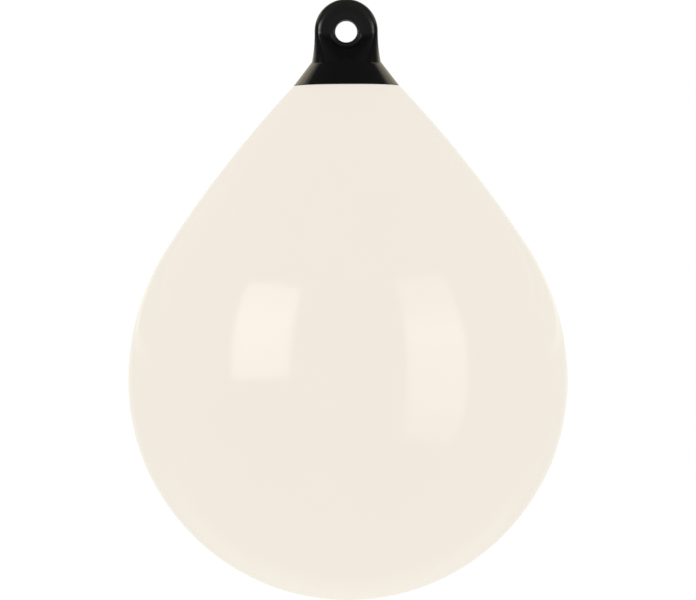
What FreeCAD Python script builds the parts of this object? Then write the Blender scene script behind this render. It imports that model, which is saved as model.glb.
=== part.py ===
"""Inflatable mooring buoy: a hollow drop-shaped float with a moulded rope-eye cap and an air valve.

Millimetres, +Z up. The origin is the centre of the rope eye, the eye's axis runs along Y,
the front of the buoy faces -Y and the air valve is on the back of the cap, towards +Y.
"""
import FreeCAD, Part
import math
import os
from FreeCAD import Vector

# Float body, a surface of revolution about Z
body_diameter = 450.0
equator_depth = 357.5
shoulder_radius = 252.5
flank_radius = 1205.0
body_wall = 3.5

# Seam between the float and the cap
seam_depth = 55.4
seam_radius = 54.1
seam_edge_round = 0.5

# Collar of the float's mouth and the tongue that locates the cap on it
collar_bore_radius = 42.0
collar_height = 8.0
collar_inner_round = 3.0
tongue_radius = 47.0
tongue_width = 3.0
tongue_height = 2.5
bond_gap = 0.2

# Skirt of the cap: a cone, with a spigot that fills the float's mouth and a recess under it
skirt_angle = 37.5
spigot_length = 12.0
recess_radius = 32.0
recess_shoulder_depth = 52.0
recess_top_radius = 16.0
recess_depth = 38.0

# Lug of the cap: a thick plate with a round top
lug_half_width = 32.3
lug_crown_rise = 0.7
lug_thickness = 40.0
lug_edge_round = 8.0

# Neck between the lug and the skirt
neck_front_depth = 27.2
neck_front_upright = 1.0
neck_front_blend = 12.3
neck_side_depth = 2.0
neck_side_radius = 148.0
neck_foot_run = 8.0
neck_corner_start = 5.0
neck_foot_corner = 34.0
neck_crease_round = 2.5
neck_steps = 5

# Rope eye through the lug: a straight wall, flared mouths and rounded lips, each in a flat round
# land that is flush with the lug and sunk in the leaning neck
eye_radius = 11.2
eye_wall_length = 14.0
eye_flare_radius = 90.0
eye_lip_round = 1.6
eye_land_radius = 18.3
eye_land_depth = 0.1
eye_land_corner = 4.3
eye_land_edge_round = 1.5

# Air valve in the back of the skirt, measured along its own axis from the skirt's surface
valve_up_slant = 18.5
boss_radius = 11.2
boss_height = 0.8
boss_root = 2.2
boss_draft = 20.0
boss_edge_round = 0.6
seat_flange_radius = 9.5
seat_flange_depth = 2.4
seat_rim_height = 1.8
seat_rim_round = 0.5
seat_body_radius = 7.5
seat_length = 17.0
seat_pocket_radius = 7.4
seat_pocket_depth = 0.6
seat_exit_radius = 3.0
seat_exit_length = 4.0
seat_press_gap = 0.05
washer_thickness = 1.6
washer_outer_radius = 6.9
washer_bore_gap = 0.3
screw_shank_radius = 4.8
screw_shank_length = 11.5
screw_running_gap = 0.08
screw_tip_chamfer = 0.8
screw_head_radius = 7.0
screw_head_height = 3.6
screw_head_round = 1.0
screw_slot_width = 2.4
screw_slot_depth = 1.8

# Reach of the searches for edges by their place, exact and on lofted faces
tiny = 0.01
loft_slack = 0.1

AXIS_X = Vector(1, 0, 0)
AXIS_Y = Vector(0, 1, 0)
AXIS_Z = Vector(0, 0, 1)
ORIGIN = Vector(0, 0, 0)


def point(radius, height):
    """Point of a profile in the XZ plane."""
    return Vector(radius, 0, height)


def line(start, end):
    return Part.LineSegment(start, end).toShape()


def arc(start, middle, end):
    return Part.Arc(start, middle, end).toShape()


def polyline(points):
    return [line(a, b) for a, b in zip(points, points[1:])]


def arc_about(centre, radius, start_angle, end_angle):
    """Arc in the XZ plane about a centre, from one angle above the X axis to another."""
    angles = (start_angle, (start_angle + end_angle) / 2, end_angle)
    return arc(*[centre + point(radius * math.cos(a), radius * math.sin(a)) for a in angles])


def edges_where(shape, test):
    """Edges of a shape whose middle point passes a test."""
    found = []
    for edge in shape.Edges:
        if not edge.Degenerated:
            middle = edge.valueAt((edge.FirstParameter + edge.LastParameter) / 2)
            if test(middle):
                found.append(edge)
    return found


def revolve(edges):
    """Solid of revolution about Z from the edges of a closed profile in the XZ plane."""
    wire = Part.Wire(Part.__sortEdges__(edges))
    return Part.Face(wire).revolve(ORIGIN, AXIS_Z, 360)


def circles_at(shape, radius, height):
    """Circular edges of a turned solid that have this radius at this height."""
    found = []
    for edge in shape.Edges:
        if not edge.Degenerated and isinstance(edge.Curve, Part.Circle):
            same_radius = abs(edge.Curve.Radius - radius) < tiny
            if same_radius and abs(edge.Curve.Center.z - height) < tiny:
                found.append(edge)
    return found


# Places worked out from the driving dimensions
body_radius = body_diameter / 2
seam_z = -seam_depth
equator_z = -equator_depth
bottom_z = equator_z - body_radius
collar_under_z = seam_z - collar_height
tongue_inner_radius = tongue_radius - tongue_width / 2
tongue_outer_radius = tongue_radius + tongue_width / 2
skirt_slope = math.tan(math.radians(skirt_angle))
lug_half = lug_thickness / 2
shoulder_centre = point(body_radius - shoulder_radius, equator_z)


def find_flank_centre():
    """Centre of the flank arc, which is tangent to the shoulder arc and ends at the seam."""
    between = point(seam_radius, seam_z) - shoulder_centre
    distance = between.Length
    reach = flank_radius - shoulder_radius
    along = (reach ** 2 - flank_radius ** 2 + distance ** 2) / (2 * distance)
    aside = math.sqrt(reach ** 2 - along ** 2)
    direction = between / distance
    return shoulder_centre + direction * along + point(-direction.z, direction.x) * aside


flank_centre = find_flank_centre()
flank_join = shoulder_centre - flank_centre
flank_join_angle = math.atan2(flank_join.z, flank_join.x)


def flank_angle_at(height, inset):
    """Angle of the point of the flank arc that lies at a height, with the wall's inset."""
    return math.asin((height - flank_centre.z) / (flank_radius - inset))


def drop_profile(inset, top_z):
    """The drop's outline from its bottom up to a height: bottom, shoulder and flank arcs."""
    top_angle = flank_angle_at(top_z, inset)
    return [
        arc_about(point(0, equator_z), body_radius - inset, -math.pi / 2, 0),
        arc_about(shoulder_centre, shoulder_radius - inset, 0, flank_join_angle),
        arc_about(flank_centre, flank_radius - inset, flank_join_angle, top_angle),
    ]


def make_float_shell():
    """Hollow drop with an inward collar at its mouth and a tongue ring on the collar."""
    inner_flank = flank_radius - body_wall
    under_angle = flank_angle_at(collar_under_z, body_wall)
    under_radius = flank_centre.x + inner_flank * math.cos(under_angle)
    mouth = polyline([
        point(seam_radius, seam_z),
        point(tongue_outer_radius, seam_z),
        point(tongue_outer_radius, seam_z + tongue_height),
        point(tongue_inner_radius, seam_z + tongue_height),
        point(tongue_inner_radius, seam_z),
        point(collar_bore_radius, seam_z),
        point(collar_bore_radius, collar_under_z),
        point(under_radius, collar_under_z),
    ])
    bottom = [line(point(0, bottom_z), point(0, bottom_z + body_wall))]
    outer = drop_profile(0, seam_z)
    inner = drop_profile(body_wall, collar_under_z)
    shell = revolve(outer + mouth + inner + bottom)
    shell = shell.makeFillet(collar_inner_round, circles_at(shell, under_radius, collar_under_z))
    return shell.makeFillet(seam_edge_round, circles_at(shell, seam_radius, seam_z))


def skirt_radius_at(height):
    """Radius of the skirt's cone at a height."""
    return seam_radius - (height - seam_z) * skirt_slope


def make_skirt():
    """Cone with a spigot into the float's mouth and a recess below."""
    spigot_radius = collar_bore_radius - bond_gap
    spigot_z = seam_z - spigot_length
    top_z = seam_z + (seam_radius - lug_half) / skirt_slope
    skirt = revolve(polyline([
        point(0, top_z),
        point(lug_half, top_z),
        point(seam_radius, seam_z),
        point(spigot_radius, seam_z),
        point(spigot_radius, spigot_z),
        point(recess_radius, spigot_z),
        point(recess_radius, -recess_shoulder_depth),
        point(recess_top_radius, -recess_depth),
        point(0, -recess_depth),
        point(0, top_z),
    ]))
    return skirt.makeFillet(seam_edge_round, circles_at(skirt, seam_radius, seam_z))


def make_tongue_groove():
    """Ring that is cut from the skirt's underside to take the float's tongue."""
    outer_radius = tongue_outer_radius + bond_gap
    inner_radius = tongue_inner_radius - bond_gap
    low_z = seam_z - tongue_height
    depth = 2 * tongue_height + bond_gap
    outer = Part.makeCylinder(outer_radius, depth, point(0, low_z))
    return outer.cut(Part.makeCylinder(inner_radius, depth, point(0, low_z)))


# The neck's front line: upright below the eye's centre, then a blend arc, then a straight lean
# out to the skirt. The lean is the tangent from the front crease to the blend arc.
front_foot = skirt_radius_at(-neck_front_depth)
front_rise = neck_front_depth - neck_front_upright
front_reach = front_foot - lug_half - neck_front_blend
crease_bearing = math.atan2(front_reach, front_rise)
tangent_bearing = math.acos(neck_front_blend / math.hypot(front_reach, front_rise))
front_lean = math.pi / 2 + crease_bearing - tangent_bearing
blend_top_z = -neck_front_upright
blend_low_z = blend_top_z - neck_front_blend * math.sin(front_lean)
neck_foot_z = -neck_front_depth - neck_foot_run


def neck_half_depth(height):
    """Half of the neck's depth along Y at a height."""
    if height > blend_top_z:
        return lug_half
    if height > blend_low_z:
        drop = blend_top_z - height
        return lug_half + neck_front_blend - math.sqrt(neck_front_blend ** 2 - drop ** 2)
    return front_foot - (height + neck_front_depth) * math.tan(front_lean)


def neck_half_width(height):
    """Half of the neck's width along X at a height: straight, then a large hollow arc."""
    drop = max(0.0, -neck_side_depth - height)
    return lug_half_width + neck_side_radius - math.sqrt(neck_side_radius ** 2 - drop ** 2)


def neck_corner(height):
    """Corner radius of the neck's section, which grows from the lug's edge to a round foot."""
    start_z = -neck_corner_start
    share = max(0.0, (height - start_z) / (neck_foot_z - start_z))
    return lug_edge_round + (neck_foot_corner - lug_edge_round) * share


def neck_section(height):
    """Closed section of the neck at a height: four corner arcs joined by straight sides."""
    width = neck_half_width(height)
    depth = neck_half_depth(height)
    corner = neck_corner(height)
    quarter = math.pi / 2
    arcs = []
    for turn, (side_x, side_y) in enumerate([(1, 1), (-1, 1), (-1, -1), (1, -1)]):
        centre = Vector(side_x * (width - corner), side_y * (depth - corner), height)
        angles = [quarter * (turn + share) for share in (0, 0.5, 1)]
        arcs.append([centre + Vector(math.cos(a), math.sin(a), 0) * corner for a in angles])
    edges = []
    for this, following in zip(arcs, arcs[1:] + arcs[:1]):
        edges.append(arc(*this))
        edges.append(line(this[-1], following[0]))
    return Part.Wire(edges)


def make_lug():
    """Upper half of the lug: a round-topped plate with rounded front and back edges."""
    left = Vector(-lug_half_width, -lug_half, 0)
    right = Vector(lug_half_width, -lug_half, 0)
    rise = Vector(0, 0, lug_crown_rise)
    crown = arc(left + rise, Vector(0, -lug_half, lug_half_width) + rise, right + rise)
    edges = [line(left, left + rise), crown, line(right + rise, right), line(right, left)]
    lug = Part.Face(Part.Wire(edges)).extrude(Vector(0, lug_thickness, 0))
    rims = edges_where(lug, lambda middle: abs(middle.y) > lug_half - tiny and middle.z > tiny)
    return lug.makeFillet(lug_edge_round, rims)


def make_neck():
    """Neck from the eye's centre down into the skirt, lofted through its sections."""
    heights = [0.0, blend_top_z, (blend_top_z + blend_low_z) / 2, blend_low_z]
    for step in range(1, neck_steps + 1):
        heights.append(blend_low_z + (neck_foot_z - blend_low_z) * step / neck_steps)
    return Part.makeLoft([neck_section(height) for height in heights], True, False)


def make_eye_void():
    """What the eye removes: a straight bore whose two ends flare out, turned about the Y axis.

    The turned surfaces begin and end at the bottom of the eye.
    """
    half_wall = eye_wall_length / 2
    far_y = 2 * lug_half
    flare_angle = math.asin((far_y - half_wall) / eye_flare_radius)
    centre_x = eye_radius + eye_flare_radius
    upper = arc_about(point(centre_x, half_wall), eye_flare_radius, math.pi, math.pi - flare_angle)
    lower = arc_about(point(centre_x, -half_wall), eye_flare_radius, math.pi, math.pi + flare_angle)
    mouth_radius = centre_x - eye_flare_radius * math.cos(flare_angle)
    ends = polyline([
        point(mouth_radius, far_y),
        point(0, far_y),
        point(0, -far_y),
        point(mouth_radius, -far_y),
    ])
    wall = line(point(eye_radius, -half_wall), point(eye_radius, half_wall))
    void = revolve([upper, lower, wall] + ends)
    void.rotate(ORIGIN, AXIS_X, -90)
    void.rotate(ORIGIN, AXIS_Y, 90)
    return void


def make_eye_land(side):
    """What sinks the flat land about the eye: a round cutter with a rounded corner.

    The side is -1 at the front and 1 at the back.
    """
    floor_y = lug_half - eye_land_depth
    corner_y = floor_y + eye_land_corner
    flat_radius = eye_land_radius - eye_land_corner
    far_y = 2 * lug_half
    corner = arc_about(point(flat_radius, corner_y), eye_land_corner, -math.pi / 2, 0)
    land = revolve([corner] + polyline([
        point(eye_land_radius, corner_y),
        point(eye_land_radius, far_y),
        point(0, far_y),
        point(0, floor_y),
        point(flat_radius, floor_y),
    ]))
    land.rotate(ORIGIN, AXIS_X, -90 * side)
    land.rotate(ORIGIN, AXIS_Y, 90)
    return land


def is_eye_mouth(middle):
    """True on the rim where the eye opens through the floor of a land."""
    on_floor = abs(abs(middle.y) - lug_half + eye_land_depth) < tiny
    return on_floor and math.hypot(middle.x, middle.z) < eye_radius + eye_lip_round


def is_land_rim(middle):
    """True where a land meets the flat of the lug or the leaning faces of the neck."""
    front_depth = neck_half_depth(min(0.0, middle.z))
    on_face = abs(abs(middle.y) - front_depth) < loft_slack
    eye_distance = math.hypot(middle.x, middle.z)
    return on_face and eye_radius + eye_lip_round < eye_distance < eye_land_radius + tiny


def is_crease(middle):
    """True on the line where the neck meets the skirt's cone."""
    axis_distance = math.hypot(middle.x, middle.y)
    on_cone = abs(axis_distance - skirt_radius_at(middle.z)) < tiny
    return on_cone and neck_foot_z < middle.z < -neck_front_depth + neck_foot_run


# Valve frame: its origin on the skirt's surface at the back, its axis square to that surface
valve_lift = math.radians(skirt_angle)
valve_origin = Vector(
    0,
    seam_radius - valve_up_slant * math.sin(valve_lift),
    seam_z + valve_up_slant * math.cos(valve_lift),
)
valve_axis = Vector(0, math.cos(valve_lift), math.sin(valve_lift))
seat_low = -seat_length
pocket_low = -seat_pocket_depth
washer_top = pocket_low + washer_thickness
seat_bore_radius = screw_shank_radius + screw_running_gap
seat_thread_low = seat_low + seat_exit_length


def on_valve_axis(shape):
    """Put a solid that was turned about Z onto the valve's axis."""
    shape.Placement = FreeCAD.Placement(valve_origin, FreeCAD.Rotation(AXIS_Z, valve_axis))
    return shape


def make_valve_boss():
    """Low round boss on the skirt, with a draft and a rounded edge."""
    foot_radius = boss_radius + (boss_height + boss_root) * math.tan(math.radians(boss_draft))
    boss = Part.makeCone(foot_radius, boss_radius, boss_height + boss_root, point(0, -boss_root))
    return on_valve_axis(boss.makeFillet(boss_edge_round, circles_at(boss, boss_radius, boss_height)))


def make_valve_hole():
    """Stepped hole in the cap that the valve seat is pressed into."""
    wide = seat_flange_radius + seat_press_gap
    narrow = seat_body_radius + seat_press_gap
    over = boss_height + boss_root
    past = seat_low - seat_length
    counterbore = Part.makeCylinder(wide, over + seat_flange_depth, point(0, -seat_flange_depth))
    hole = Part.makeCylinder(narrow, over - past, point(0, past))
    return on_valve_axis(counterbore.fuse(hole))


def make_eye_cap():
    """Cap in one piece: skirt, neck, lug, rope eye and valve boss."""
    head = make_lug().fuse(make_neck())
    cap = make_skirt().fuse(head).removeSplitter()
    cap = cap.cut([make_eye_void(), make_eye_land(-1), make_eye_land(1)])
    cap = cap.makeFillet(eye_lip_round, edges_where(cap, is_eye_mouth))
    cap = cap.makeFillet(eye_land_edge_round, edges_where(cap, is_land_rim))
    cap = cap.makeFillet(neck_crease_round, edges_where(cap, is_crease))
    cap = cap.fuse(make_valve_boss()).removeSplitter()
    return cap.cut([make_valve_hole(), make_tongue_groove()])


def make_valve_seat():
    """Bush with a flange, a pocket for the screw's head, a bore for its shank and an air exit."""
    seat = revolve(polyline([
        point(seat_exit_radius, seat_low),
        point(seat_body_radius, seat_low),
        point(seat_body_radius, -seat_flange_depth),
        point(seat_flange_radius, -seat_flange_depth),
        point(seat_flange_radius, seat_rim_height),
        point(seat_pocket_radius, seat_rim_height),
        point(seat_pocket_radius, pocket_low),
        point(seat_bore_radius, pocket_low),
        point(seat_bore_radius, seat_thread_low),
        point(seat_exit_radius, seat_thread_low),
        point(seat_exit_radius, seat_low),
    ]))
    rim = circles_at(seat, seat_flange_radius, seat_rim_height)
    return on_valve_axis(seat.makeFillet(seat_rim_round, rim))


def make_valve_washer():
    """Flat sealing washer between the screw's head and the seat."""
    bore = screw_shank_radius + washer_bore_gap
    return on_valve_axis(revolve(polyline([
        point(bore, pocket_low),
        point(washer_outer_radius, pocket_low),
        point(washer_outer_radius, washer_top),
        point(bore, washer_top),
        point(bore, pocket_low),
    ])))


def make_valve_screw():
    """Plug screw with a round slotted head."""
    head_top = washer_top + screw_head_height
    tip = washer_top - screw_shank_length
    screw = revolve(polyline([
        point(0, tip),
        point(screw_shank_radius - screw_tip_chamfer, tip),
        point(screw_shank_radius, tip + screw_tip_chamfer),
        point(screw_shank_radius, washer_top),
        point(screw_head_radius, washer_top),
        point(screw_head_radius, head_top),
        point(0, head_top),
        point(0, tip),
    ]))
    screw = screw.makeFillet(screw_head_round, circles_at(screw, screw_head_radius, head_top))
    slot = Part.makeBox(2 * screw_head_radius, screw_slot_width, screw_slot_depth)
    slot.translate(Vector(-screw_head_radius, -screw_slot_width / 2, head_top - screw_slot_depth))
    return on_valve_axis(screw.cut(slot))


parts = {
    "float_shell": make_float_shell(),
    "eye_cap": make_eye_cap(),
    "valve_seat": make_valve_seat(),
    "valve_washer": make_valve_washer(),
    "valve_screw": make_valve_screw(),
}
os.makedirs("parts", exist_ok=True)
for name, shape in parts.items():
    shape.exportStep("parts/" + name + ".step")
    print(name, shape.isValid(), len(shape.Solids), round(shape.Volume / 1000, 2), "cm3")
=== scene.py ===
"""Looks of the mooring buoy: glossy vinyl float, black rope-eye cap and its screw air valve.

Metres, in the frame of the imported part: +Z up, the origin is the centre of the rope eye, the
front faces -Y and the air valve is on the back of the cap.
"""
import math

import bmesh
import bpy
from mathutils import Matrix, Vector, noise


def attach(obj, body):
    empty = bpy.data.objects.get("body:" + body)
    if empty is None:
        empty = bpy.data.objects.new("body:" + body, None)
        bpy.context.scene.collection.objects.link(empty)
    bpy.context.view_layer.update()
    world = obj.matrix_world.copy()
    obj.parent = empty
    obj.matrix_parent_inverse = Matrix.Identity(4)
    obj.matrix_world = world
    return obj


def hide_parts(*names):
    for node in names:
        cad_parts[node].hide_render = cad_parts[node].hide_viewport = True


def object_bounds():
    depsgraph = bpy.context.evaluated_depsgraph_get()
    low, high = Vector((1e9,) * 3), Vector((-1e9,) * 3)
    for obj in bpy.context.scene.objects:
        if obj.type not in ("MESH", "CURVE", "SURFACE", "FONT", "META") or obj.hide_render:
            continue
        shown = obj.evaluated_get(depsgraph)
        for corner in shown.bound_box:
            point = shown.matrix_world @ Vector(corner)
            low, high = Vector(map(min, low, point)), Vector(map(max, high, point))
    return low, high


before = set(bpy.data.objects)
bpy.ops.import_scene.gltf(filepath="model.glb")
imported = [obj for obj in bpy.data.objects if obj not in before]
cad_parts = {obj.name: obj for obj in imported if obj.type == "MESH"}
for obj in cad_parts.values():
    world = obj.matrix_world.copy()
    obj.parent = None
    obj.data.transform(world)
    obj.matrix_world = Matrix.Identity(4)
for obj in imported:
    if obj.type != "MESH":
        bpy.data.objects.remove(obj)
cad_low, cad_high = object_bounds()

MM = 0.001

# The photograph's frame and the places in it that set the camera, in its pixels
PHOTO_WIDTH = 696
PHOTO_HEIGHT = 600
EYE_CENTRE_PX = (346.2, 31.7)
BODY_CENTRE_PX = (348.0, 380.0)
METRES_PER_PIXEL = 1.025 * MM
CAMERA_DISTANCE = 6.6
CAMERA_RANGE = 100.0
SENSOR_WIDTH = 36.0

# The float's outline, a surface of revolution about Z
BODY_RADIUS = 225.0 * MM
EQUATOR_Z = -357.5 * MM
SHOULDER_RADIUS = 252.5 * MM
SHOULDER_CENTRE = Vector((BODY_RADIUS - SHOULDER_RADIUS, EQUATOR_Z))
FLANK_RADIUS = 1205.0 * MM
BODY_WALL = 3.5 * MM
SEAM_Z = -55.4 * MM
SEAM_RADIUS = 54.1 * MM
SEAM_ROUND = 0.5 * MM
COLLAR_BORE_RADIUS = 42.0 * MM
COLLAR_UNDER_Z = SEAM_Z - 8.0 * MM
TONGUE_RADII = (45.5 * MM, 48.5 * MM)
TONGUE_HEIGHT = 2.5 * MM

# How far outward and down the outer skin's last row lies from the seam's edge
SEAM_STEP = (0.35 * SEAM_ROUND, 0.5 * SEAM_ROUND)

# The turned meshes: steps around and lengths of rows, the radius below which a point counts as
# on the axis, and the corner from which an edge is shaded sharp
FLOAT_TURN_STEPS = 288
FLOAT_ROW_LENGTH = 5.0 * MM
INSIDE_ROW_LENGTH = 20.0 * MM
SCREW_TURN_STEPS = 96
SCREW_ROUND_ROW = 0.2 * MM
THREAD_ROW = 0.125 * MM
ON_AXIS = 1e-7
SHARP_CORNER = math.radians(35)

# The slight waviness of the float's moulded skin. It fades out at both ends and moves points
# along the line from the equator's centre, with a share of that line's rise
WAVE_LENGTH = 40.0 * MM
WAVE_HEIGHT = 0.05 * MM
FINER_WAVE = 2.1
FINER_SHARE = 0.5
WAVE_FADE_AT_SEAM = 30.0 * MM
WAVE_FADE_AT_BOTTOM = 5.0 * MM
OUTWARD_RISE = 0.8

# The valve's axis, by its place on the skirt and its degrees above level, then the screw along
# that axis from the skirt's surface, and its thread
VALVE_PLACE = (0.0, 42.838 * MM, -40.723 * MM)
VALVE_LIFT = 37.5
SCREW_HEAD_LOW = 1.0 * MM
SCREW_HEAD_HEIGHT = 3.6 * MM
SCREW_HEAD_RADIUS = 7.0 * MM
SCREW_HEAD_ROUND = 1.0 * MM
SCREW_SLOT = (2.4 * MM, 1.8 * MM)
SCREW_SHANK_RADIUS = 4.8 * MM
SCREW_SHANK_LENGTH = 11.5 * MM
SCREW_TIP_CHAMFER = 0.8 * MM
THREAD_PITCH = 2.0 * MM
THREAD_DEPTH = 0.8 * MM
THREAD_FADE = 1.2 * MM

# Display colours of the float, and scene-linear ones of the rest, each pair mixed by a noise
FLOAT_CREAMS = ((241.5, 233.5, 222.0), (243.0, 235.0, 224.5))
CAP_BLACKS = (0.0009, 0.0018)
NYLON_WHITES = ((0.67, 0.65, 0.60, 1), (0.72, 0.70, 0.65, 1))
RUBBER_BLACKS = (0.006, 0.012)

# Roughness, which on the moulded skins drifts between two values as a noise crosses a range,
# and the height of the fine grain
FLOAT_ROUGHNESS = (0.11, 0.14)
CAP_ROUGHNESS = (0.12, 0.15)
EYE_ROUGHNESS = 0.35
LAND_ROUGHNESS = 0.27
NYLON_ROUGHNESS = 0.35
RUBBER_ROUGHNESS = 0.7
DRIFT_RANGE = (0.3, 0.7)
GRAIN_HEIGHT = 0.02 * MM

# A painted sheen makes the cap's crown paler above the eye, from a ragged radius outward.
# Where rope has worn the cap, the eye and its land are less glossy, each up to a radius
SHEEN_RADII = (24.0 * MM, 29.0 * MM)
SHEEN_HEIGHTS = (0.0, 12.0 * MM)
SHEEN_RAGGED = 5.0 * MM
PAINTED_SHEEN_BLACK = (0.0120, 0.0115, 0.0100, 1)
EYE_EDGE = (12.5 * MM, 13.5 * MM)
LAND_EDGE = (17.5 * MM, 19.5 * MM)

FLOOR_Z = cad_low.z
FLOOR_SIZE = 8.0
FLOOR_GREY = 0.45
FLOOR_GLOW = 0.7

# Results of a smooth step that falls
FALLING = (1, 0)

# The level part of a direction is taken as no less than this, so that it can be divided by
LEAST_LEVEL = 0.001

# The studio's dark walls in the cap's gloss. Here and below, an edge, foot, top or side is
# where a change starts and ends, in degrees from the camera's side or above the horizon
ROOM_FRONT = 0.26
ROOM_FRONT_EDGE = (35, 75)
ROOM_HORIZON = 0.22
ROOM_HORIZON_EDGE = (3, 6)
ROOM_DARK = 0.09
ROOM_DARK_EDGE = (0, 56)
ROOM_GAP = 0.02
ROOM_GAP_FOOT = (58, 62)
ROOM_GAP_TOP = (67, 72)
ROOM_GAP_SIDE = (15, 35)

# The warm reflector behind. Its shares and the azimuths of its near edge are for left and
# right. Those azimuths hold at one elevation, and the edge leans back above it
REFLECTOR = 0.97
REFLECTOR_TINT = (1.0, 0.91, 0.73)
REFLECTOR_SHARES = (1.0, 0.88)
REFLECTOR_NEAR = (118.0, 120.5)
REFLECTOR_NEAR_AT = 12
REFLECTOR_LEAN = 0.68
REFLECTOR_FOOT = (13, 17)
REFLECTOR_TOP = (42, 50)

# In degrees past that near edge: how soft it is, and where the strip along it starts and, on
# the left and right, ends. The strip's shares are for left and right too
NEAR_EDGE = (-0.5, 0.5)
STRIP_START = (-9.5, -8.0)
STRIP_ENDS = (-4.5, 0.0)
STRIP_SHARES = (0.8, 0.5)

# The two dimmer reflectors, one at the side and one low behind
WING_SHARE = 0.8
WING_NEAR_EDGE = (90, 96)
WING_TOP = (33, 37)
LOW_SHARE = 0.9
LOW_NEAR_EDGE = (112, 150)
LOW_FOOT = (2.5, 5)
LOW_TOP = (13, 17)

# The even light that the float's gloss shows, by the angle from the camera's side, and its low
# part behind also by how steeply a direction rises, from -1 to 1
SHELL_RADIUS = 30.0
SHELL_TINT = (1.0, 0.97, 0.88)
SHELL_FRONT = 0.27
SHELL_SIDE = 0.59
SHELL_SIDE_EDGE = (35, 130)
SHELL_BACK = 0.09
SHELL_BACK_EDGE = (152, 166)
SHELL_LOW_BACK = 0.15
SHELL_LOW_BACK_EDGE = (120, 140)
SHELL_LOW_BACK_RISE = (-0.55, -0.25)

# The lamps: their distance from the float's middle, the size of the cap's two, and a profile
# of (place along, level) that is the same all along
SOFTBOX_DISTANCE = 1.0
CAP_SOFTBOX_SIZE = (0.80, 0.71)
EVEN = [(0, 1.0), (1, 1.0)]


def grey(level):
    return (level, level, level, 1)


def linear(red, green, blue):
    """Scene-linear colour from 8-bit display values."""
    def channel(value):
        share = value / 255
        return share / 12.92 if share <= 0.04045 else ((share + 0.055) / 1.055) ** 2.4
    return (channel(red), channel(green), channel(blue), 1.0)


class Nodes:
    """Small helper that adds nodes to a node tree and links them."""

    def __init__(self, tree):
        self.tree = tree
        self.tree.nodes.clear()

    def add(self, kind, inputs=None, **settings):
        """Node with settings, and with inputs that are values or outputs of other nodes."""
        node = self.tree.nodes.new(kind)
        for name, value in settings.items():
            setattr(node, name, value)
        for name, value in (inputs or {}).items():
            if isinstance(value, bpy.types.NodeSocket):
                self.tree.links.new(value, node.inputs[name])
            else:
                node.inputs[name].default_value = value
        return node

    def math(self, operation, *values):
        inputs = dict(enumerate(values))
        return self.add("ShaderNodeMath", inputs, operation=operation).outputs[0]

    def times(self, product, *factors):
        """Product of two or more values."""
        for factor in factors:
            product = self.math("MULTIPLY", product, factor)
        return product

    def vector(self, operation, inputs):
        return self.add("ShaderNodeVectorMath", inputs, operation=operation).outputs[0]

    def parts(self, vector):
        """The three components of a vector."""
        return self.add("ShaderNodeSeparateXYZ", {"Vector": vector}).outputs

    def length(self, first, second):
        """Length of a vector in a plane, from its two components."""
        squares = [self.times(first, first), self.times(second, second)]
        return self.math("SQRT", self.math("ADD", *squares))

    def angle_from_front(self, ahead):
        """Degrees from the camera's side, from the cosine of the angle to the far side."""
        return self.math("SUBTRACT", 180, self.math("DEGREES", self.math("ARCCOSINE", ahead)))

    def smooth(self, value, edge, results=(0.0, 1.0)):
        """Smooth step of a value across an edge, from the first result to the second."""
        inputs = dict(enumerate((value, *edge, *results)))
        return self.add("ShaderNodeMapRange", inputs, interpolation_type="SMOOTHSTEP").outputs[0]

    def mix(self, factor, first, second):
        return self.add("ShaderNodeMix", {0: factor, 2: first, 3: second}).outputs[0]

    def mix_colour(self, factor, first, second):
        inputs = {0: factor, 6: first, 7: second}
        return self.add("ShaderNodeMix", inputs, data_type="RGBA").outputs[2]

    def mix_shaders(self, factor, first, second):
        inputs = {0: factor, 1: first.outputs[0], 2: second.outputs[0]}
        return self.add("ShaderNodeMixShader", inputs)

    def add_shaders(self, first, second):
        return self.add("ShaderNodeAddShader", {0: first.outputs[0], 1: second.outputs[0]})

    def noise(self, place, scale, detail=2.0):
        inputs = {"Vector": place, "Scale": scale, "Detail": detail}
        return self.add("ShaderNodeTexNoise", inputs).outputs[0]

    def grain(self, place, scale, strength):
        """Normal of a surface with a fine grain."""
        height = self.noise(place, scale, detail=1.0)
        inputs = {"Strength": strength, "Distance": GRAIN_HEIGHT, "Height": height}
        return self.add("ShaderNodeBump", inputs).outputs[0]

    def plastic(self, colour, roughness, ior, **relief):
        """Surface of plastic or rubber, with a Normal where it has a grain."""
        inputs = {"Base Color": colour, "Roughness": roughness, "IOR": ior, **relief}
        self.show(self.add("ShaderNodeBsdfPrincipled", inputs))

    def show(self, shader, output="ShaderNodeOutputMaterial"):
        """Output node that shows a shader."""
        self.add(output, {"Surface": shader.outputs[0]})


def new_material(name):
    material = bpy.data.materials.new(name)
    material.use_nodes = True
    return material, Nodes(material.node_tree)


def object_coordinates(nodes):
    return nodes.add("ShaderNodeTexCoord").outputs["Object"]


def new_object(name, data):
    """Object that shows some data in the scene."""
    made = bpy.data.objects.new(name, data)
    bpy.context.scene.collection.objects.link(made)
    return made


def new_mesh_object(name, mesh):
    """Object made of a bmesh, which is freed."""
    data = bpy.data.meshes.new(name)
    mesh.to_mesh(data)
    mesh.free()
    return new_object(name, data)


def shade(data):
    """Shade a mesh smooth between its sharp corners."""
    data.shade_smooth()
    data.set_sharp_from_angle(angle=SHARP_CORNER)


def float_vinyl():
    """Cream vinyl with a gloss skin: a trace of cloudiness in its colour and fine orange peel."""
    material, nodes = new_material("float_vinyl")
    place = object_coordinates(nodes)
    cloud = nodes.noise(place, scale=14.0, detail=3.0)
    colour = nodes.mix_colour(cloud, *(linear(*cream) for cream in FLOAT_CREAMS))
    gloss = nodes.smooth(nodes.noise(place, scale=60.0), DRIFT_RANGE, FLOAT_ROUGHNESS)
    peel = nodes.grain(place, scale=900.0, strength=0.05)
    nodes.plastic(colour, gloss, ior=1.33, Normal=peel)
    return material


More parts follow.
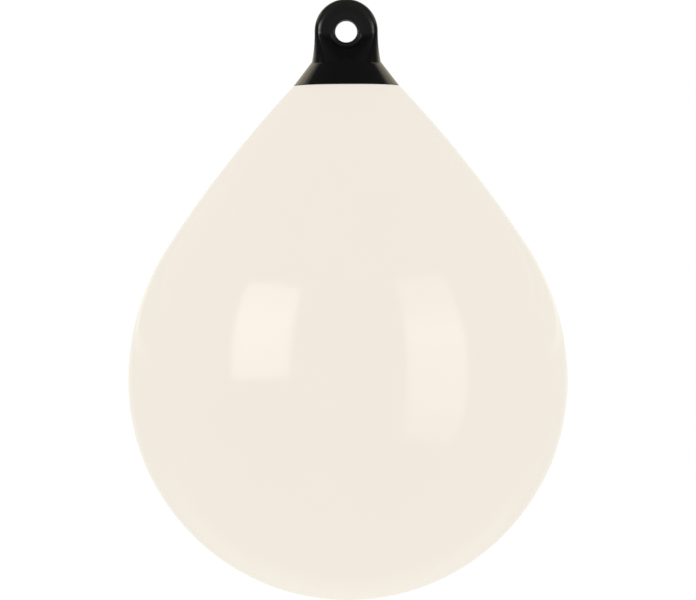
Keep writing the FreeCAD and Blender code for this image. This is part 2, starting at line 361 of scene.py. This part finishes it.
def cap_vinyl():
    """Cap's black vinyl, glossy from the mould, duller in the eye, with a painted sheen on the crown."""
    material, nodes = new_material("cap_vinyl")
    place = object_coordinates(nodes)
    x, _, z = nodes.parts(place)
    flow = nodes.noise(place, scale=45.0, detail=3.0)
    black = nodes.mix_colour(flow, *(grey(level) for level in CAP_BLACKS))
    from_eye = nodes.length(x, z)
    # Painted sheen: the crown is made paler above the eye, from a ragged radius outward
    ragged = nodes.times(nodes.math("SUBTRACT", flow, 0.5), SHEEN_RAGGED)
    crown = nodes.smooth(nodes.math("ADD", from_eye, ragged), SHEEN_RADII)
    painted_sheen = nodes.times(crown, nodes.smooth(z, SHEEN_HEIGHTS))
    colour = nodes.mix_colour(painted_sheen, black, PAINTED_SHEEN_BLACK)
    skin = nodes.smooth(nodes.noise(place, scale=90.0), DRIFT_RANGE, CAP_ROUGHNESS)
    land = nodes.mix(nodes.smooth(from_eye, EYE_EDGE), EYE_ROUGHNESS, LAND_ROUGHNESS)
    gloss = nodes.mix(nodes.smooth(from_eye, LAND_EDGE), land, skin)
    grain = nodes.grain(place, scale=1400.0, strength=0.06)
    nodes.plastic(colour, gloss, ior=1.5, Normal=grain)
    return material


def valve_plastic():
    """Off-white nylon of the valve's seat and screw, satin from the mould."""
    material, nodes = new_material("valve_plastic")
    place = object_coordinates(nodes)
    colour = nodes.mix_colour(nodes.noise(place, scale=300.0), *NYLON_WHITES)
    grain = nodes.grain(place, scale=3000.0, strength=0.1)
    nodes.plastic(colour, NYLON_ROUGHNESS, ior=1.48, Normal=grain)
    return material


def washer_rubber():
    """Black rubber of the sealing washer, matt."""
    material, nodes = new_material("washer_rubber")
    cloud = nodes.noise(object_coordinates(nodes), scale=500.0)
    colour = nodes.mix_colour(cloud, *(grey(level) for level in RUBBER_BLACKS))
    nodes.plastic(colour, RUBBER_ROUGHNESS, ior=1.5)
    return material


def arc_points(centre, radius, start, end, length):
    """Points along an arc in the profile plane, no further apart than a length."""
    steps = max(2, math.ceil(abs(end - start) * radius / length))
    angles = [start + (end - start) * step / steps for step in range(steps + 1)]
    return [(centre[0] + radius * math.cos(a), centre[1] + radius * math.sin(a)) for a in angles]


def flank_centre():
    """Centre of the flank arc, tangent to the shoulder arc and through the seam's edge."""
    between = Vector((SEAM_RADIUS, SEAM_Z)) - SHOULDER_CENTRE
    reach = FLANK_RADIUS - SHOULDER_RADIUS
    along = (reach ** 2 - FLANK_RADIUS ** 2 + between.length ** 2) / (2 * between.length)
    aside = math.sqrt(reach ** 2 - along ** 2)
    direction = between.normalized()
    return SHOULDER_CENTRE + direction * along + Vector((-direction.y, direction.x)) * aside


def drop_outline(inset, top_z, length):
    """Outline of the drop from its bottom pole up to a height, as points."""
    flank = flank_centre()
    join = math.atan2(*reversed(SHOULDER_CENTRE - flank))
    top = math.asin((top_z - flank.y) / (FLANK_RADIUS - inset))
    points = arc_points((0, EQUATOR_Z), BODY_RADIUS - inset, -math.pi / 2, 0, length)
    points += arc_points(SHOULDER_CENTRE, SHOULDER_RADIUS - inset, 0, join, length)[1:]
    points += arc_points(flank, FLANK_RADIUS - inset, join, top, length)[1:]
    return points


def turned_mesh(name, outline, turn_steps, displace):
    """Object of an outline turned about Z. The outline starts and ends on the axis.

    Each point off the axis is displaced by a function of its row and its place.
    """
    mesh = bmesh.new()
    rings = []
    for row, (radius, height) in enumerate(outline):
        if radius < ON_AXIS:
            rings.append([mesh.verts.new((0, 0, height))])
            continue
        ring = []
        for step in range(turn_steps):
            angle = 2 * math.pi * step / turn_steps
            place = Vector((radius * math.cos(angle), radius * math.sin(angle), height))
            ring.append(mesh.verts.new(displace(row, place)))
        rings.append(ring)
    for low, high in zip(rings, rings[1:]):
        for step in range(turn_steps):
            after = (step + 1) % turn_steps
            if len(low) == 1:
                mesh.faces.new((low[0], high[after], high[step]))
            elif len(high) == 1:
                mesh.faces.new((low[step], low[after], high[0]))
            else:
                mesh.faces.new((low[step], low[after], high[after], high[step]))
    bmesh.ops.recalc_face_normals(mesh, faces=mesh.faces)
    piece = new_mesh_object(name, mesh)
    shade(piece.data)
    return piece


def make_float():
    """The float as a closed shell: wavy outer skin, mouth collar with its tongue, plain inside."""
    outer = drop_outline(0, SEAM_Z, FLOAT_ROW_LENGTH)
    outer_count = len(outer)
    under = drop_outline(BODY_WALL, COLLAR_UNDER_Z, INSIDE_ROW_LENGTH)
    tongue_top = SEAM_Z + TONGUE_HEIGHT
    mouth = [
        (SEAM_RADIUS - SEAM_ROUND, SEAM_Z),
        (TONGUE_RADII[1], SEAM_Z),
        (TONGUE_RADII[1], tongue_top),
        (TONGUE_RADII[0], tongue_top),
        (TONGUE_RADII[0], SEAM_Z),
        (COLLAR_BORE_RADIUS, SEAM_Z),
        (COLLAR_BORE_RADIUS, COLLAR_UNDER_Z),
    ]
    edge_radius, edge_height = outer[-1]
    outer[-1] = (edge_radius + SEAM_STEP[0], edge_height - SEAM_STEP[1])
    outline = outer + mouth + list(reversed(under))

    def waves(row, place):
        if row >= outer_count:
            return place
        from_seam = (SEAM_Z - place.z) / WAVE_FADE_AT_SEAM
        from_bottom = (place.z - cad_low.z) / WAVE_FADE_AT_BOTTOM
        fade = min(1.0, from_seam, from_bottom)
        swell = noise.noise(place / WAVE_LENGTH)
        swell += FINER_SHARE * noise.noise(place / WAVE_LENGTH * FINER_WAVE)
        outward = Vector((place.x, place.y, (place.z - EQUATOR_Z) * OUTWARD_RISE)).normalized()
        return place - outward * WAVE_HEIGHT * fade * (1 + swell) / 2

    piece = turned_mesh("float_skin", outline, FLOAT_TURN_STEPS, waves)
    piece.data.materials.append(float_vinyl())
    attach(piece, "buoy_body")
    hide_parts("float_shell")
    return piece


def cut_box(piece, low, high):
    """Cut a box between two corners out of a piece's mesh."""
    mesh = bmesh.new()
    bmesh.ops.create_cube(mesh, size=1)
    for vertex in mesh.verts:
        vertex.co = [(a + b) / 2 + (b - a) * c for a, b, c in zip(low, high, vertex.co)]
    cutter = new_mesh_object("cutter", mesh)
    boolean = piece.modifiers.new("slot", "BOOLEAN")
    boolean.operation = "DIFFERENCE"
    boolean.solver = "EXACT"
    boolean.object = cutter
    evaluated = piece.evaluated_get(bpy.context.evaluated_depsgraph_get())
    cut = bpy.data.meshes.new_from_object(evaluated)
    piece.modifiers.clear()
    piece.data = cut
    bpy.data.objects.remove(cutter)
    shade(cut)


def make_screw(material):
    """The valve's screw: a round slotted head on a shank with a moulded right-hand thread."""
    tip = SCREW_HEAD_LOW - SCREW_SHANK_LENGTH
    top = SCREW_HEAD_LOW + SCREW_HEAD_HEIGHT
    rows = round((SCREW_SHANK_LENGTH - SCREW_TIP_CHAMFER) / THREAD_ROW)
    heights = [SCREW_HEAD_LOW - below * THREAD_ROW for below in range(rows, -1, -1)]
    crown = (SCREW_HEAD_RADIUS - SCREW_HEAD_ROUND, top - SCREW_HEAD_ROUND)
    outline = [(0, tip), (SCREW_SHANK_RADIUS - SCREW_TIP_CHAMFER, tip)]
    outline += [(SCREW_SHANK_RADIUS, height) for height in heights]
    outline += [(SCREW_HEAD_RADIUS, SCREW_HEAD_LOW)]
    outline += arc_points(crown, SCREW_HEAD_ROUND, 0, math.pi / 2, SCREW_ROUND_ROW)
    outline += [(0, top)]

    def thread(_, place):
        if place.z >= 0:
            return place
        turn = math.atan2(place.y, place.x) / (2 * math.pi)
        groove = 0.5 - 0.5 * math.cos(2 * math.pi * (place.z / THREAD_PITCH - turn))
        fade = min(1.0, (place.z - tip) / THREAD_FADE, -place.z / THREAD_FADE)
        inward = 1 - THREAD_DEPTH * groove * fade / SCREW_SHANK_RADIUS
        return Vector((place.x * inward, place.y * inward, place.z))

    piece = turned_mesh("valve_plug_screw", outline, SCREW_TURN_STEPS, thread)
    width, depth = SCREW_SLOT
    reach = 2 * SCREW_HEAD_RADIUS
    cut_box(piece, (-reach, -width / 2, top - depth), (reach, width / 2, top + depth))
    lean = Matrix.Rotation(math.radians(VALVE_LIFT - 90), 4, "X")
    piece.data.transform(Matrix.Translation(VALVE_PLACE) @ lean)
    piece.data.materials.append(material)
    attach(piece, "plug_screw")
    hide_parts("valve_screw")
    return piece


def dress_node(node, material):
    """Give a carried-over node its material."""
    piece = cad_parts[node]
    piece.data.materials.clear()
    piece.data.materials.append(material)
    return piece


def make_camera():
    """Level camera at the photograph's height and distance, rolled by the photo's slight lean."""
    lean = (BODY_CENTRE_PX[0] - EYE_CENTRE_PX[0]) / (BODY_CENTRE_PX[1] - EYE_CENTRE_PX[1])
    axis_px = EYE_CENTRE_PX[0] + (PHOTO_HEIGHT / 2 - EYE_CENTRE_PX[1]) * lean
    aside = (PHOTO_WIDTH / 2 - axis_px) * METRES_PER_PIXEL
    height = (EYE_CENTRE_PX[1] - PHOTO_HEIGHT / 2) * METRES_PER_PIXEL
    data = bpy.data.cameras.new("camera")
    data.sensor_width = SENSOR_WIDTH
    data.lens = SENSOR_WIDTH * CAMERA_DISTANCE / (PHOTO_WIDTH * METRES_PER_PIXEL)
    data.clip_end = CAMERA_RANGE
    camera = new_object("camera", data)
    upright = Matrix.Rotation(math.pi / 2, 4, "X")
    roll = Matrix.Rotation(math.atan(lean), 4, "Y")
    camera.matrix_world = Matrix.Translation((aside, -CAMERA_DISTANCE, height)) @ roll @ upright
    bpy.context.scene.camera = camera


def add_profile(nodes, share, profile):
    """Level at a share of a lamp's length, from a profile of (place along, level)."""
    ramp = nodes.add("ShaderNodeValToRGB", {"Fac": share})
    stops = ramp.color_ramp.elements
    while len(stops) < len(profile):
        stops.new(0.5)
    for stop, (place, level) in zip(stops, profile):
        stop.position = place
        stop.color = grey(level)
    return ramp.outputs[0]


def light_only(source, pieces):
    """Let a lamp or the light shell light only some pieces."""
    group = bpy.data.collections.new(source.name + "_lights")
    for piece in pieces:
        group.objects.link(piece)
    source.light_linking.receiver_collection = group


def make_softbox(name, azimuth, tilt, roll, size, centre, strength, upward, across, seen_by):
    """Rectangular lamp that faces the float's middle and that only some pieces reflect.

    Its angles are in degrees, the azimuth from the camera's side. Its centre is given in its
    own plane. The profiles upward and across are shares of its strength.
    """
    turn, lift, spin = (math.radians(angle) for angle in (azimuth, tilt, roll))
    level = Vector((math.cos(turn), math.sin(turn), 0))
    out = Vector((math.sin(turn) * math.cos(lift), -math.cos(turn) * math.cos(lift), math.sin(lift)))
    steep = out.cross(level).normalized()
    side = level * math.cos(spin) + steep * math.sin(spin)
    up = -level * math.sin(spin) + steep * math.cos(spin)
    place = Vector((0, 0, EQUATOR_Z)) + out * SOFTBOX_DISTANCE
    place += side * centre[0] + up * centre[1]

    # The energy grows with the lamp's area, so a larger lamp is as bright as a small one
    data = bpy.data.lights.new(name, "AREA")
    data.shape = "RECTANGLE"
    data.size, data.size_y = size
    data.energy = math.pi * size[0] * size[1]
    data.use_nodes = True
    nodes = Nodes(data.node_tree)
    share_across, share_up, _ = nodes.parts(nodes.add("ShaderNodeNewGeometry").outputs["Parametric"])
    profiles = nodes.times(add_profile(nodes, share_up, upward),
                           add_profile(nodes, share_across, across))
    glow = nodes.add("ShaderNodeEmission", {"Strength": nodes.times(profiles, strength)})
    nodes.show(glow, "ShaderNodeOutputLight")

    lamp = new_object(name, data)
    axes = Matrix((side, up, side.cross(up))).transposed()
    lamp.matrix_world = Matrix.Translation(place) @ axes.to_4x4()
    lamp.visible_camera = False
    lamp.visible_diffuse = False
    light_only(lamp, seen_by)


def studio_radiance(nodes, direction):
    """Colour of the light from a direction: dark walls and warm white reflectors."""
    x, y, z = nodes.parts(direction)
    level = nodes.math("MAXIMUM", nodes.length(x, y), LEAST_LEVEL)
    azimuth = nodes.angle_from_front(nodes.math("DIVIDE", y, level))
    elevation = nodes.math("DEGREES", nodes.math("ARCSINE", z))
    right = nodes.math("GREATER_THAN", x, 0)

    # The dark walls: lit to the front and along the horizon, with a gap high in front
    room = nodes.smooth(elevation, ROOM_HORIZON_EDGE, (ROOM_HORIZON, ROOM_DARK))
    room = nodes.mix(nodes.smooth(azimuth, ROOM_FRONT_EDGE, FALLING), room, ROOM_FRONT)
    room = nodes.mix(nodes.smooth(elevation, ROOM_DARK_EDGE), room, ROOM_DARK)
    gap = nodes.times(nodes.smooth(elevation, ROOM_GAP_FOOT),
                      nodes.smooth(elevation, ROOM_GAP_TOP, FALLING),
                      nodes.smooth(azimuth, ROOM_GAP_SIDE, FALLING))
    room = nodes.mix(gap, room, ROOM_GAP)

    # The reflector: its near edge leans back as it rises, and a dimmer strip runs along it
    lean = nodes.times(nodes.math("SUBTRACT", elevation, REFLECTOR_NEAR_AT), REFLECTOR_LEAN)
    past_edge = nodes.math("SUBTRACT", nodes.math("SUBTRACT", azimuth, lean),
                           nodes.mix(right, *REFLECTOR_NEAR))
    strip = nodes.times(nodes.smooth(past_edge, STRIP_START),
                        nodes.math("LESS_THAN", past_edge, nodes.mix(right, *STRIP_ENDS)),
                        nodes.mix(right, *STRIP_SHARES))
    panel = nodes.math("MAXIMUM", nodes.smooth(past_edge, NEAR_EDGE), strip)
    panel = nodes.times(panel, nodes.smooth(elevation, REFLECTOR_TOP, FALLING))

    # Two dimmer reflectors: one at the side in front of that edge, one low behind
    wing = nodes.times(nodes.smooth(azimuth, WING_NEAR_EDGE),
                       nodes.smooth(elevation, WING_TOP, (WING_SHARE, 0)))
    panel = nodes.times(nodes.math("MAXIMUM", panel, wing),
                        nodes.smooth(elevation, REFLECTOR_FOOT),
                        nodes.mix(right, *REFLECTOR_SHARES))
    low = nodes.times(nodes.smooth(azimuth, LOW_NEAR_EDGE),
                      nodes.smooth(elevation, LOW_FOOT),
                      nodes.smooth(elevation, LOW_TOP, (LOW_SHARE, 0)))
    panel = nodes.math("MAXIMUM", panel, low)

    walls = nodes.add("ShaderNodeCombineColor", {"Red": room, "Green": room, "Blue": room})
    bright = tuple(REFLECTOR * share for share in REFLECTOR_TINT) + (1,)
    return nodes.mix_colour(panel, walls.outputs[0], bright)


def make_world():
    """White to the camera, even to soft light, and a studio with dark places to reflections."""
    world = bpy.data.worlds.new("studio")
    bpy.context.scene.world = world
    world.use_nodes = True
    nodes = Nodes(world.node_tree)
    path = nodes.add("ShaderNodeLightPath")
    direction = nodes.add("ShaderNodeTexCoord").outputs["Generated"]
    studio = nodes.add("ShaderNodeBackground", {"Color": studio_radiance(nodes, direction)})
    plain = nodes.add("ShaderNodeBackground", {"Color": grey(1.0)})
    shown = nodes.mix_shaders(path.outputs["Is Glossy Ray"], plain, studio)
    nodes.show(shown, "ShaderNodeOutputWorld")


def make_light_shell(seen_by):
    """Far clear shell that adds what the studio lacks to be an even light, in some gloss only."""
    mesh = bmesh.new()
    bmesh.ops.create_icosphere(mesh, subdivisions=4, radius=SHELL_RADIUS)
    shell = new_mesh_object("light_shell", mesh)
    material, nodes = new_material("light_shell")
    direction = nodes.vector("NORMALIZE", {0: object_coordinates(nodes)})
    _, ahead, rise = nodes.parts(direction)
    away = nodes.angle_from_front(ahead)
    side = nodes.smooth(away, SHELL_SIDE_EDGE, (SHELL_FRONT, SHELL_FRONT + SHELL_SIDE))
    back = nodes.smooth(away, SHELL_BACK_EDGE, (0, SHELL_BACK))
    low_back = nodes.times(nodes.smooth(away, SHELL_LOW_BACK_EDGE),
                           nodes.smooth(rise, SHELL_LOW_BACK_RISE, FALLING), SHELL_LOW_BACK)
    even = nodes.math("ADD", nodes.math("ADD", side, back), low_back)
    tinted = nodes.vector("SCALE", {0: SHELL_TINT, "Scale": even})
    lack = nodes.vector("SUBTRACT", {0: tinted, 1: studio_radiance(nodes, direction)})
    lack = nodes.vector("MAXIMUM", {0: lack, 1: (0, 0, 0)})
    glow = nodes.add("ShaderNodeEmission", {"Color": lack})
    nodes.show(nodes.add_shaders(nodes.add("ShaderNodeBsdfTransparent"), glow))
    material.cycles.emission_sampling = "NONE"
    shell.data.materials.append(material)
    shell.visible_camera = False
    shell.visible_diffuse = False
    shell.visible_transmission = False
    shell.visible_shadow = False
    light_only(shell, seen_by)


def make_floor():
    """Pale floor that shows the object's soft shadow, and is clear when seen from below."""
    data = bpy.data.meshes.new("floor")
    half = FLOOR_SIZE / 2
    corners = [(-half, -half), (half, -half), (half, half), (-half, half)]
    data.from_pydata([(x, y, FLOOR_Z) for x, y in corners], [], [(0, 1, 2, 3)])
    floor = new_object("floor", data)
    material, nodes = new_material("floor")
    soft = nodes.add("ShaderNodeBsdfDiffuse", {"Color": grey(FLOOR_GREY)})
    path = nodes.add("ShaderNodeLightPath")
    seen = nodes.times(path.outputs["Is Camera Ray"], FLOOR_GLOW)
    upper = nodes.add_shaders(soft, nodes.add("ShaderNodeEmission", {"Strength": seen}))
    below = nodes.add("ShaderNodeNewGeometry").outputs["Backfacing"]
    nodes.show(nodes.mix_shaders(below, upper, nodes.add("ShaderNodeBsdfTransparent")))
    data.materials.append(material)
    floor.visible_diffuse = False
    floor.visible_glossy = False
    floor.visible_shadow = False


float_pieces = [make_float()]
plastic = valve_plastic()
cap_pieces = [
    dress_node("eye_cap", cap_vinyl()),
    dress_node("valve_seat", plastic),
    make_screw(plastic),
    dress_node("valve_washer", washer_rubber()),
]

make_camera()
make_world()
make_light_shell(float_pieces)
make_floor()
make_softbox(
    "softbox_left", azimuth=-42.3, tilt=14.3, roll=2.4, size=(0.53, 0.70), centre=(0.0, 0.123),
    strength=3.6, upward=[(0, 0.80), (0.2, 0.85), (0.35, 0.98), (0.6, 1.0), (0.8, 0.84), (1, 0.80)],
    across=EVEN, seen_by=float_pieces,
)
make_softbox(
    "softbox_right", azimuth=39.2, tilt=2.8, roll=-2.6, size=(0.565, 1.43), centre=(0.0745, 0.137),
    strength=3.15, upward=[
        (0, 0.32), (0.1, 0.41), (0.27, 0.67), (0.44, 0.70),
        (0.6, 1.0), (0.7, 0.75), (0.82, 0.54), (1, 0.52),
    ],
    across=EVEN, seen_by=float_pieces,
)
make_softbox(
    "cap_softbox_left", azimuth=-42, tilt=20, roll=0, size=CAP_SOFTBOX_SIZE, centre=(0, 0),
    strength=6.2, upward=[(0.42, 0.05), (0.575, 0.3), (0.68, 1.0), (0.79, 0.68), (0.9, 0.22), (0.97, 0)],
    across=[(0, 0), (0.12, 0.8), (0.35, 1.0), (0.6, 0.5), (0.8, 0.2), (1, 0.05)],
    seen_by=cap_pieces,
)
make_softbox(
    "cap_softbox_right", azimuth=42, tilt=20, roll=0, size=CAP_SOFTBOX_SIZE, centre=(0, 0),
    strength=3.0, upward=[(0.42, 0.1), (0.575, 0.5), (0.68, 1.0), (0.79, 0.5), (0.9, 0.28), (0.97, 0)],
    across=[(0, 0.05), (0.2, 0.2), (0.4, 0.5), (0.65, 1.0), (0.88, 0.8), (1, 0)],
    seen_by=cap_pieces,
)
bpy.context.scene.view_settings.view_transform = "Standard"
